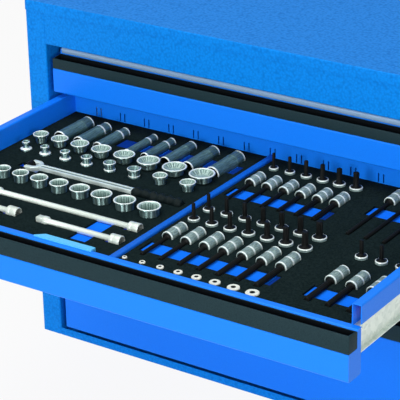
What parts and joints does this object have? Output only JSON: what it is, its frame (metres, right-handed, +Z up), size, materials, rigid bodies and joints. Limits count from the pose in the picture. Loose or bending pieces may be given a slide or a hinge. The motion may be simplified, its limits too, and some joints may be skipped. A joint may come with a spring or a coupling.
{
  "type": "tool chest with socket drawer",
  "caption": "Blue steel tool chest with sliding drawers; the open drawer holds foam inserts with sockets, a hinged handle, extension bars and bit sockets.",
  "frame": {"origin": "middle of the chest's underside, on the floor", "axes": "+X to the chest's right as seen from its front, +Y to its back, +Z up; the drawers open to -Y"},
  "size_m": [0.8174, 0.8174, 0.5467],
  "materials": {
    "chest_paint": "hammertone blue paint",
    "drawer_paint": "smooth semi-gloss blue paint",
    "grip_plastic": "satin dark grey",
    "zinc": "zinc-plated",
    "fastener_steel": "plain",
    "foam_black": "fine-celled closed foam",
    "foam_blue": "fine-celled closed foam",
    "label_plastic": "pale blue, blank",
    "tool_chrome": "polished",
    "satin_chrome": "satin",
    "black_steel": "black oxide",
    "grip_rubber": "matt"
  },
  "bodies": {
    "cabinet": {"side_panel_left": "chest_paint", "side_panel_right": "chest_paint", "back_panel": "chest_paint", "base_panel": "chest_paint", "top_panel": "chest_paint", "front_fascia": "chest_paint", "runner_uprights": "chest_paint", "fixed_runners": "zinc", "runner_rivets": "fastener_steel", "back_screws": "fastener_steel"},
    "upper_drawer": {"upper_tray": "drawer_paint", "upper_front": "drawer_paint", "upper_grip_strip": "grip_plastic", "upper_inner_runners": "zinc"},
    "socket_drawer": {"socket_tray": "drawer_paint", "socket_front": "drawer_paint", "socket_grip_strip": "grip_plastic", "socket_inner_runners": "zinc", "divider": "drawer_paint", "label_holder": "label_plastic", "foam_top_left": "foam_black", "foam_top_right": "foam_black", "foam_base_left": "foam_blue", "foam_base_right": "foam_blue"},
    "third_drawer": {"third_tray": "drawer_paint", "third_front": "drawer_paint", "third_grip_strip": "grip_plastic", "third_inner_runners": "zinc"},
    "deep_drawer": {"deep_tray": "drawer_paint", "deep_front": "drawer_paint", "deep_grip_strip": "grip_plastic", "deep_inner_runners": "zinc"},
    "upper_runner": {"upper_middle_runners": "zinc"},
    "socket_runner": {"socket_middle_runners": "zinc"},
    "third_runner": {"third_middle_runners": "zinc"},
    "deep_runner": {"deep_middle_runners": "zinc"},
    "large_socket_row": {"large_sockets": "tool_chrome"},
    "small_socket_row": {"small_sockets": "tool_chrome"},
    "medium_socket_row": {"medium_sockets": "tool_chrome"},
    "deep_socket_row": {"deep_sockets": "tool_chrome"},
    "sunk_socket_row": {"sunk_sockets": "tool_chrome"},
    "hinged_handle": {"handle_bar": "tool_chrome", "handle_grip": "grip_rubber", "handle_pivot_pin": "fastener_steel"},
    "extension_long": {"long_extension": "satin_chrome"},
    "extension_middle": {"middle_extension": "satin_chrome"},
    "extension_short": {"short_extension": "satin_chrome"},
    "back_standing_row": {"back_standing_bodies": "tool_chrome", "back_standing_bits": "black_steel"},
    "middle_standing_rows": {"middle_standing_bodies": "tool_chrome", "middle_standing_bits": "black_steel"},
    "upper_lying_row": {"upper_lying_bodies": "tool_chrome", "upper_lying_bits": "black_steel"},
    "long_lying_row": {"long_lying_bodies": "tool_chrome", "long_lying_bits": "black_steel"},
    "lower_lying_row": {"lower_lying_bodies": "tool_chrome", "lower_lying_bits": "black_steel"},
    "drive_head": {"handle_drive_head": "black_steel"}
  },
  "joints": [
    {"name": "upper_drawer_slide", "type": "slide", "parent": "cabinet", "child": "upper_drawer", "axis": [0, -1, 0], "range_m": [0, 0.4]},
    {"name": "upper_runner_slide", "type": "slide", "parent": "cabinet", "child": "upper_runner", "axis": [0, -1, 0], "range_m": [0, 0.2]},
    {"name": "socket_drawer_slide", "type": "slide", "parent": "cabinet", "child": "socket_drawer", "axis": [0, -1, 0], "range_m": [-0.382, 0.018]},
    {"name": "socket_runner_slide", "type": "slide", "parent": "cabinet", "child": "socket_runner", "axis": [0, -1, 0], "range_m": [-0.191, 0.009]},
    {"name": "third_drawer_slide", "type": "slide", "parent": "cabinet", "child": "third_drawer", "axis": [0, -1, 0], "range_m": [0, 0.4]},
    {"name": "third_runner_slide", "type": "slide", "parent": "cabinet", "child": "third_runner", "axis": [0, -1, 0], "range_m": [0, 0.2]},
    {"name": "deep_drawer_slide", "type": "slide", "parent": "cabinet", "child": "deep_drawer", "axis": [0, -1, 0], "range_m": [0, 0.4]},
    {"name": "deep_runner_slide", "type": "slide", "parent": "cabinet", "child": "deep_runner", "axis": [0, -1, 0], "range_m": [0, 0.2]},
    {"name": "large_socket_row_lift", "type": "slide", "parent": "socket_drawer", "child": "large_socket_row", "axis": [0, 0, 1], "range_m": [0, 0.02]},
    {"name": "small_socket_row_lift", "type": "slide", "parent": "socket_drawer", "child": "small_socket_row", "axis": [0, 0, 1], "range_m": [0, 0.02]},
    {"name": "medium_socket_row_lift", "type": "slide", "parent": "socket_drawer", "child": "medium_socket_row", "axis": [0, 0, 1], "range_m": [0, 0.02]},
    {"name": "deep_socket_row_lift", "type": "slide", "parent": "socket_drawer", "child": "deep_socket_row", "axis": [0, 0, 1], "range_m": [0, 0.02]},
    {"name": "sunk_socket_row_lift", "type": "slide", "parent": "socket_drawer", "child": "sunk_socket_row", "axis": [0, 0, 1], "range_m": [0, 0.02]},
    {"name": "hinged_handle_lift", "type": "slide", "parent": "socket_drawer", "child": "hinged_handle", "axis": [0, 0, 1], "range_m": [0, 0.02]},
    {"name": "extension_long_lift", "type": "slide", "parent": "socket_drawer", "child": "extension_long", "axis": [0, 0, 1], "range_m": [0, 0.02]},
    {"name": "extension_middle_lift", "type": "slide", "parent": "socket_drawer", "child": "extension_middle", "axis": [0, 0, 1], "range_m": [0, 0.02]},
    {"name": "extension_short_lift", "type": "slide", "parent": "socket_drawer", "child": "extension_short", "axis": [0, 0, 1], "range_m": [0, 0.02]},
    {"name": "back_standing_row_lift", "type": "slide", "parent": "socket_drawer", "child": "back_standing_row", "axis": [0, 0, 1], "range_m": [0, 0.012]},
    {"name": "middle_standing_rows_lift", "type": "slide", "parent": "socket_drawer", "child": "middle_standing_rows", "axis": [0, 0, 1], "range_m": [0, 0.012]},
    {"name": "upper_lying_row_lift", "type": "slide", "parent": "socket_drawer", "child": "upper_lying_row", "axis": [0, 0, 1], "range_m": [0, 0.02]},
    {"name": "long_lying_row_lift", "type": "slide", "parent": "socket_drawer", "child": "long_lying_row", "axis": [0, 0, 1], "range_m": [0, 0.02]},
    {"name": "lower_lying_row_lift", "type": "slide", "parent": "socket_drawer", "child": "lower_lying_row", "axis": [0, 0, 1], "range_m": [0, 0.02]},
    {"name": "drive_head_hinge", "type": "hinge", "parent": "hinged_handle", "child": "drive_head", "pos_m": [-0.276, -0.3856, 0.3717], "axis": [0, 1, 0], "range_deg": [0, 180]}
  ],
  "couplings": [
    {"joint": "upper_runner_slide", "follows": "upper_drawer_slide", "ratio": 0.5},
    {"joint": "socket_runner_slide", "follows": "socket_drawer_slide", "ratio": 0.5},
    {"joint": "third_runner_slide", "follows": "third_drawer_slide", "ratio": 0.5},
    {"joint": "deep_runner_slide", "follows": "deep_drawer_slide", "ratio": 0.5}
  ]
}
